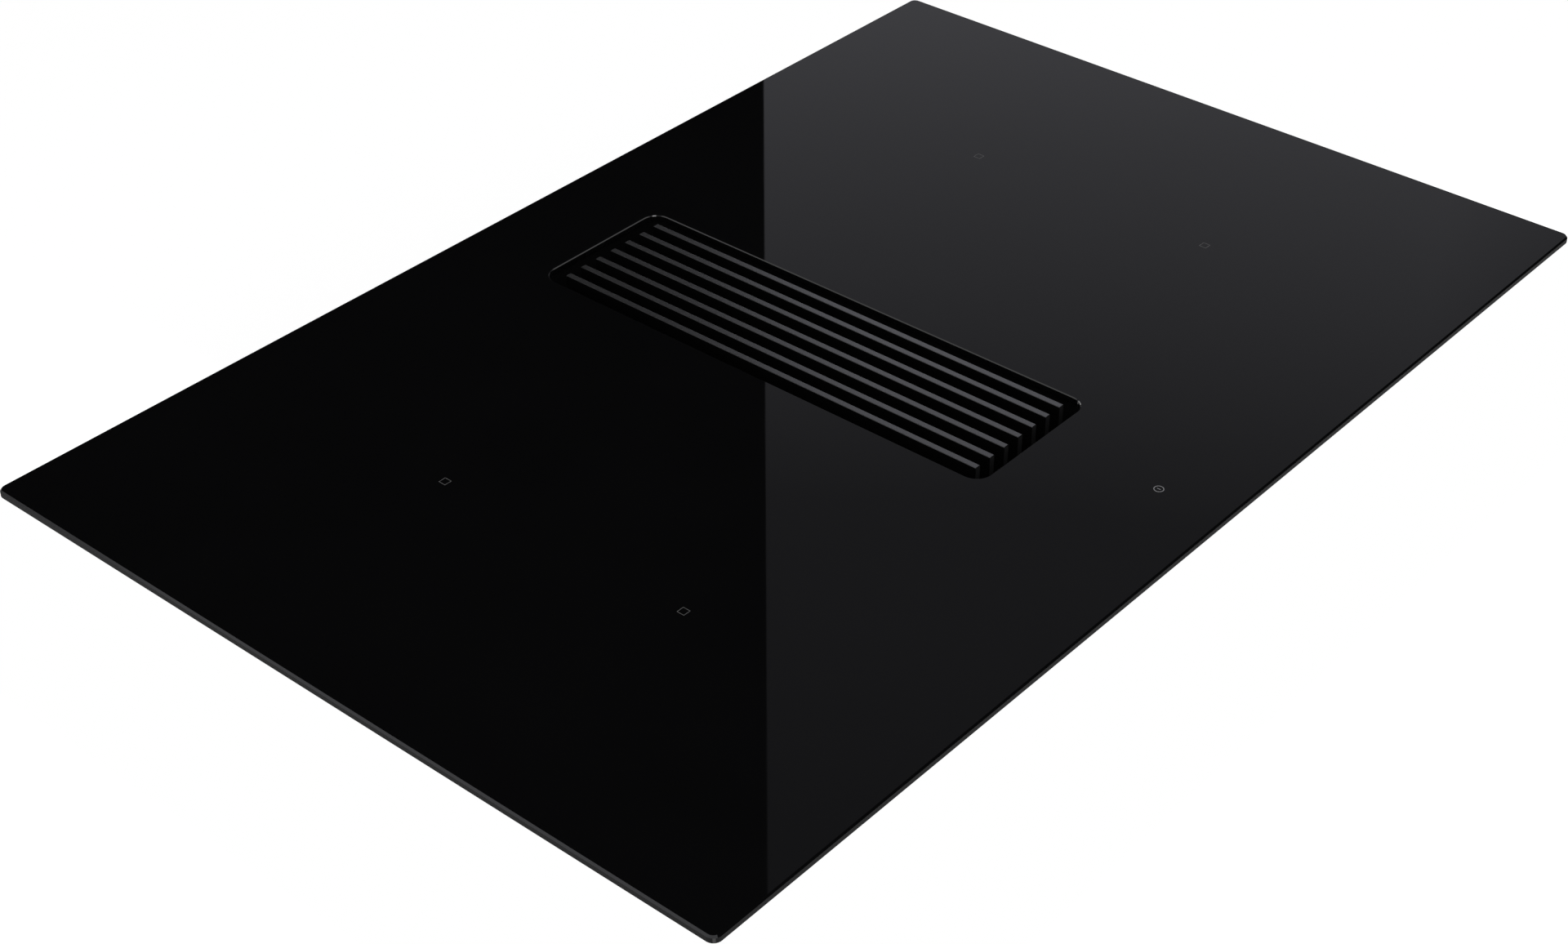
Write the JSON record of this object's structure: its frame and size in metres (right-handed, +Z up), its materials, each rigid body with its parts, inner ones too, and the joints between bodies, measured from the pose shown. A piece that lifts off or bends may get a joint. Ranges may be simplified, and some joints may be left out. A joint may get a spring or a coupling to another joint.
{
  "type": "downdraft cooktop",
  "caption": "Black glass induction cooktop with a slatted air inlet let into its middle, and a fan, filter and flat duct outlet under it.",
  "frame": {"origin": "middle of the glass outline, on the worktop's surface (the underside of the sealing tape)", "axes": "+X to the user's right, +Y to the back, +Z up"},
  "size_m": [0.8, 0.52, 0.2063],
  "materials": {
    "glass_black": "polished black glass ceramic",
    "foam_tape": "closed-cell foam",
    "silicone": "silicone",
    "frame_paint": "black powder coat",
    "galvanised_steel": "zinc coated sheet",
    "screw_steel": "zinc plated",
    "black_plastic": "moulded glass-filled plastic",
    "grille_coat": "blasted and dyed dark grey",
    "collar_plastic": "moulded plastic, dead black",
    "filter_black": "black stove enamel",
    "filter_mesh_black": "black enamelled mesh",
    "tray_plastic": "moulded plastic",
    "wheel_plastic": "moulded wheel",
    "motor_steel": "plated steel",
    "shaft_steel": "ground steel",
    "lamination_steel": "laminated sheet",
    "copper": "enamelled copper wire",
    "cast_aluminium": "die cast",
    "aluminium_sheet": "mill finish",
    "ferrite": "sintered ferrite",
    "mica": "mica sheet",
    "former_plastic": "glass-filled plastic",
    "sensor_ceramic": "ceramic",
    "circuit_board": "solder mask",
    "component_black": "moulded epoxy",
    "capacitor_sleeve": "sleeved can",
    "terminal_plastic": "polyamide",
    "contact_steel": "spring steel"
  },
  "bodies": {
    "chassis": {"glass_plate": "glass_black", "sealing_tape": "foam_tape", "glass_adhesive": "silicone", "carrier_frame": "frame_paint", "base_tray": "galvanised_steel", "tray_screws": "screw_steel", "collar_gasket": "silicone", "inlet_collar": "collar_plastic", "box_gasket": "silicone", "air_box": "black_plastic", "box_screws": "screw_steel", "drain_seal": "silicone", "inlet_ring": "black_plastic", "fan_gasket": "foam_tape", "scroll_housing": "black_plastic", "scroll_cover": "black_plastic", "fan_screws": "screw_steel", "stator_core": "lamination_steel", "stator_windings": "copper", "motor_flange": "cast_aluminium", "motor_bearings": "shaft_steel", "outlet_duct": "black_plastic", "duct_hanger": "galvanised_steel", "coil_windings": "copper", "coil_formers": "former_plastic", "mica_sheets": "mica", "ferrite_bars": "ferrite", "coil_plates": "aluminium_sheet", "temperature_sensors": "sensor_ceramic", "coil_springs": "contact_steel", "power_boards": "circuit_board", "board_standoffs": "terminal_plastic", "heat_sinks": "cast_aluminium", "power_modules": "component_black", "board_capacitors": "capacitor_sleeve", "cooling_fan_frames": "component_black", "control_board": "circuit_board", "control_bracket": "former_plastic", "touch_springs": "contact_steel", "terminal_box": "black_plastic", "terminal_block": "terminal_plastic", "cable_gland": "component_black", "clamp_brackets": "galvanised_steel"},
    "grille": {"grille": "grille_coat", "grille_pads": "silicone"},
    "filter": {"filter_frame": "filter_black", "filter_mesh": "filter_mesh_black"},
    "drip_tray": {"drip_tray": "tray_plastic"},
    "drain_cap": {"drain_cap": "tray_plastic"},
    "fan_wheel": {"impeller": "wheel_plastic", "rotor_can": "motor_steel", "motor_shaft": "shaft_steel"},
    "cooling_fan_left": {"cooling_fan_rotor_left": "wheel_plastic"},
    "cooling_fan_right": {"cooling_fan_rotor_right": "wheel_plastic"},
    "flap": {"backdraft_flap": "tray_plastic"},
    "terminal_cover": {"terminal_cover": "black_plastic"},
    "clamp_front_left": {"clamp_front_left": "galvanised_steel"},
    "clamp_front_right": {"clamp_front_right": "galvanised_steel"},
    "clamp_back_left": {"clamp_back_left": "galvanised_steel"},
    "clamp_back_right": {"clamp_back_right": "galvanised_steel"}
  },
  "joints": [
    {"name": "grille_lift", "type": "slide", "parent": "chassis", "child": "grille", "axis": [0, 0, 1], "range_m": [0, 0.25]},
    {"name": "filter_lift", "type": "slide", "parent": "chassis", "child": "filter", "axis": [0, 0, 1], "range_m": [0, 0.23]},
    {"name": "drip_tray_lift", "type": "slide", "parent": "chassis", "child": "drip_tray", "axis": [0, 0, 1], "range_m": [0, 0.21]},
    {"name": "drain_cap_turn", "type": "hinge", "parent": "chassis", "child": "drain_cap", "pos_m": [0, 0.1457, -0.19], "axis": [0, 0, 1], "range_deg": [0, 90]},
    {"name": "fan_wheel_spin", "type": "hinge", "parent": "chassis", "child": "fan_wheel", "pos_m": [0.1, -0.045, -0.1185], "axis": [1, 0, 0], "continuous": true},
    {"name": "cooling_fan_left_spin", "type": "hinge", "parent": "chassis", "child": "cooling_fan_left", "pos_m": [-0.112, -0.14, -0.04], "axis": [0, 0, 1], "continuous": true},
    {"name": "cooling_fan_right_spin", "type": "hinge", "parent": "chassis", "child": "cooling_fan_right", "pos_m": [0.112, -0.14, -0.04], "axis": [0, 0, 1], "continuous": true},
    {"name": "flap_swing", "type": "hinge", "parent": "chassis", "child": "flap", "pos_m": [0.1676, 0.158, -0.116], "axis": [1, 0, 0], "range_deg": [0, 78]},
    {"name": "terminal_cover_swing", "type": "hinge", "parent": "chassis", "child": "terminal_cover", "pos_m": [-0.25, 0.1336, -0.0839], "axis": [-1, 0, 0], "range_deg": [0, 100]},
    {"name": "clamp_front_left_swing", "type": "hinge", "parent": "chassis", "child": "clamp_front_left", "pos_m": [-0.355, -0.11, -0.0507], "axis": [0, 0, 1], "range_deg": [0, 90]},
    {"name": "clamp_front_right_swing", "type": "hinge", "parent": "chassis", "child": "clamp_front_right", "pos_m": [0.355, -0.11, -0.0507], "axis": [0, 0, -1], "range_deg": [0, 90]},
    {"name": "clamp_back_left_swing", "type": "hinge", "parent": "chassis", "child": "clamp_back_left", "pos_m": [-0.355, 0.11, -0.0507], "axis": [0, 0, -1], "range_deg": [0, 90]},
    {"name": "clamp_back_right_swing", "type": "hinge", "parent": "chassis", "child": "clamp_back_right", "pos_m": [0.355, 0.11, -0.0507], "axis": [0, 0, 1], "range_deg": [0, 90]}
  ],
  "couplings": [
    {"joint": "filter_lift", "follows": "grille_lift", "ratio": 0.9},
    {"joint": "drip_tray_lift", "follows": "grille_lift", "ratio": 0.82}
  ]
}
